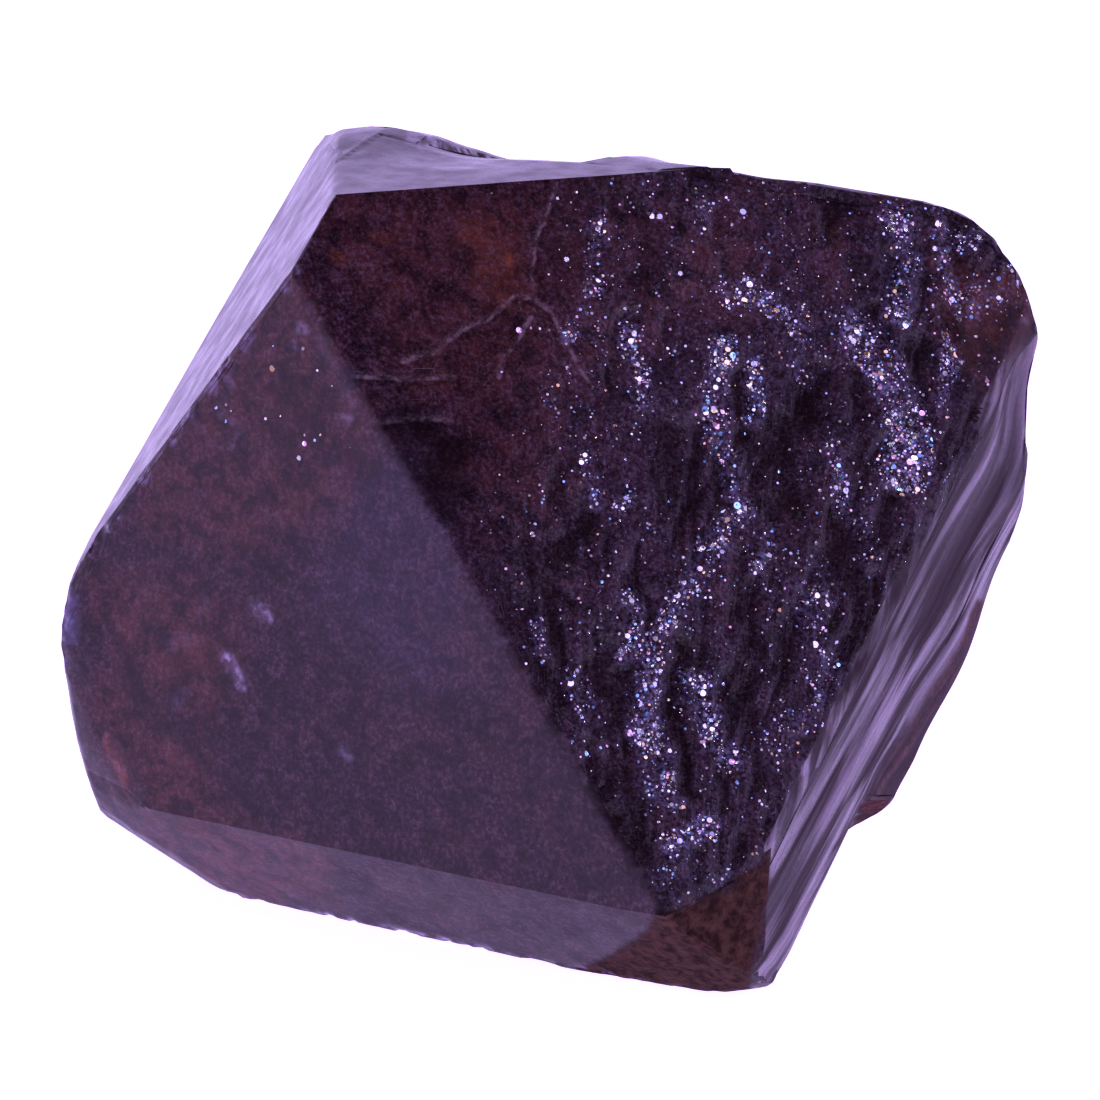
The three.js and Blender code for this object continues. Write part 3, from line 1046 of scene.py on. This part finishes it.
def etched_material():
    s = Shader("zircon_etched_face")
    painted_shade, glitter, etch = s.attribute("painted_shade"), s.attribute("glitter"), s.attribute("etch")
    streak = s.noise(0.15, 4, place=s.attribute("grain", "Vector"))
    # Painted shade: the troughs, shade zones and shade streaks are darkened towards DEEP.
    colour = s.mix(s.math("MULTIPLY", painted_shade, 0.85), stone(s), DEEP)
    grit = s.math("MULTIPLY", s.ramp(s.noise(0.085, 4), 0.48, 0.76), s.ramp(etch, 0, 1, 0.06, 0.14))
    grit = s.math("MULTIPLY", grit, s.ramp(painted_shade, 0, 1, 1, 0.2))
    grit = s.math("MULTIPLY", grit, s.ramp(streak, 0.38, 0.62, 0.1, 1.5))
    colour = s.mix(grit, colour, PALE)
    # Painted sheen: a lilac haze over the glint bands stands in for glints too small to see.
    band_sheen = s.math("MULTIPLY", s.ramp(s.noise(0.10, 5), 0.42, 0.70), glitter)
    colour = s.mix(s.math("MULTIPLY", band_sheen, 0.65), colour, SHEEN_HAZE)

    # Painted glints: bright tinted specks in the glint bands, metallic and leaned so that they also
    # reflect.
    crowd = s.ramp(glitter, 0.10, 0.90, 0.007, 0.9)
    big, big_tint, big_lean = glint_specks(s, BIG_GLINT, 5.0, crowd, 1.35)
    dust = s.math("MULTIPLY", glitter, 1.1)
    small, small_tint, small_lean = glint_specks(s, SMALL_GLINT, 9.0, dust, 0.8)
    colour = s.mix(small, colour, small_tint)
    colour = s.mix(big, colour, big_tint)
    speck = s.math("MAXIMUM", big, small)
    rough = s.bump(s.noise(0.11, 4), 0.03, 0.6)
    rough = s.bump(streak, 0.06, 0.7, rough)
    first, _, _ = s.cells(0.08, 1.0)
    facets = s.vector("SUBTRACT", first, (0.5, 0.5, 0.5))
    normal = s.vector("ADD", rough, s.scaled(facets, s.math("MULTIPLY", etch, 0.22)))
    normal = s.vector("ADD", normal, s.vector("ADD", big_lean, small_lean))
    normal = s.vector("NORMALIZE", normal)
    roughness = s.blend(painted_shade, s.ramp(etch, 0, 1, 0.20, 0.30), 0.20)
    roughness = s.blend(speck, roughness, 0.12)
    roughness = s.blend(s.math("MAXIMUM", s.attribute("dull"), s.attribute("foot")), roughness, 0.85)
    metallic = s.math("MULTIPLY", speck, 0.92)
    return s.finish(colour, roughness, normal, metallic, Specular_IOR_Level=ETCHED_GLOSS)


def striated_material():
    s = Shader("zircon_striated_faces")
    place = s.attribute("grain", "Vector")
    lines = s.noise(0.42, 4, 0.3, place, 0.45)
    broad = s.noise(1.3, 2, 0.4, place)
    dull = s.attribute("dull")
    painted_shade = s.attribute("painted_shade")
    # Painted sheen and painted shade: lavender streaks stand in for the reflections along the growth
    # lines, plum for the shade between them, and the shade zones dim the sheen.
    light = s.math("MULTIPLY", s.ramp(lines, 0.44, 0.64), s.ramp(broad, 0.36, 0.62, 0.35, 1))
    light = s.math("MULTIPLY", light, s.ramp(dull, 0, 1, 0.50, 0.03))
    light = s.math("MULTIPLY", light, s.ramp(painted_shade, 0, 1, 1, 0.35))
    light = s.math("MULTIPLY", light, s.ramp(s.attribute("foot"), 0, 1, 1, 0))
    shade = s.math("MULTIPLY", s.ramp(lines, 0.58, 0.42), s.ramp(broad, 0.62, 0.42, 0.4, 1))
    shade = s.math("MAXIMUM", shade, s.math("MULTIPLY", painted_shade, s.ramp(lines, 0.66, 0.44)))
    colour = s.mix(shade, stone(s), PLUM)
    colour = s.mix(light, colour, SHEEN_LAVENDER)
    normal = s.bump(broad, 0.40, 1.0)
    normal = s.bump(lines, 0.18, 1.0, normal)
    normal = s.bump(s.noise(0.10, 3), 0.008, 1.0, normal)
    roughness = s.blend(shade, 0.24, 0.9)
    roughness = s.blend(s.math("MAXIMUM", dull, s.attribute("foot")), roughness, 0.9)
    return s.finish(colour, roughness, normal, Specular_IOR_Level=STRIATED_GLOSS)


def dull_material():
    s = Shader("zircon_dull_stone")
    foot = s.math("MAXIMUM", s.attribute("foot"), s.attribute("dull"))
    normal = s.bump(s.noise(0.12, 3), 0.004)
    normal = s.bump(s.math("MULTIPLY", s.noise(0.25, 6), foot), 0.06, 1.0, normal)
    roughness = s.blend(foot, s.ramp(s.noise(0.8, 4), 0.3, 0.7, 0.26, 0.38), 0.95)
    return s.finish(stone(s), roughness, normal, Specular_IOR_Level=DULL_GLOSS)


for make in (smooth_material, etched_material, striated_material, dull_material):
    mesh.materials.append(make())

# ---- Floor and light ----------------------------------------

FLOOR_SIDE = 3.0
FLOOR_GLOW = (1.12, 0.88, 1.74)
FLOOR_COLOUR = (0.80, 0.74, 0.88)
HORIZON = (1.24, 0.95, 1.95)
CEILING = (0.03, 0.02, 0.035)
CEILING_START, CEILING_END = 22, 42  # degrees above the horizon


def floor_material():
    s = Shader("pale_table")
    s.surface.inputs["Emission Color"].default_value = (*FLOOR_GLOW, 1)
    s.surface.inputs["Emission Strength"].default_value = 1.0
    s.link((*FLOOR_COLOUR, 1), s.surface.inputs["Base Color"])
    s.surface.inputs["Roughness"].default_value = 0.9
    s.surface.inputs["Specular IOR Level"].default_value = 0.0
    return s.material


half = FLOOR_SIDE / 2
table = bpy.data.meshes.new("table")
table.from_pydata(
    [(-half, -half, 0), (half, -half, 0), (half, half, 0), (-half, half, 0)], [], [(0, 1, 2, 3)]
)
table.materials.append(floor_material())
floor = bpy.data.objects.new("table", table)
bpy.context.scene.collection.objects.link(floor)

world = bpy.data.worlds.new("studio")
bpy.context.scene.world = world
world.use_nodes = True
tree = world.node_tree
way = tree.nodes.new("ShaderNodeTexCoord").outputs["Generated"]
split = tree.nodes.new("ShaderNodeSeparateXYZ")
tree.links.new(way, split.inputs[0])
height = tree.nodes.new("ShaderNodeMapRange")
height.interpolation_type = "SMOOTHSTEP"
height.inputs["From Min"].default_value = math.sin(math.radians(CEILING_START))
height.inputs["From Max"].default_value = math.sin(math.radians(CEILING_END))
tree.links.new(split.outputs["Z"], height.inputs["Value"])
shade = tree.nodes.new("ShaderNodeMix")
shade.data_type = "RGBA"
shade.inputs[6].default_value = (*HORIZON, 1)
shade.inputs[7].default_value = (*CEILING, 1)
tree.links.new(height.outputs[0], shade.inputs[0])
tree.links.new(shade.outputs[2], tree.nodes["Background"].inputs["Color"])


def area_light(name, place, side, power, colour):
    light = bpy.data.lights.new(name, "AREA")
    light.size, light.energy, light.color = side, power, colour
    lamp = bpy.data.objects.new(name, light)
    lamp.location = place
    lamp.rotation_mode = "QUATERNION"
    lamp.rotation_quaternion = (-Vector(place)).to_track_quat("-Z", "Y")
    bpy.context.scene.collection.objects.link(lamp)


area_light("overhead_softbox", (-0.15, 0.25, 0.75), 0.4, 1.0, (0.93, 0.86, 1.0))
area_light("glitter_light", (0.45, -0.125, 0.175), 0.03, 0.15, (1.0, 0.97, 1.0))

bpy.context.scene.view_settings.view_transform = "Standard"
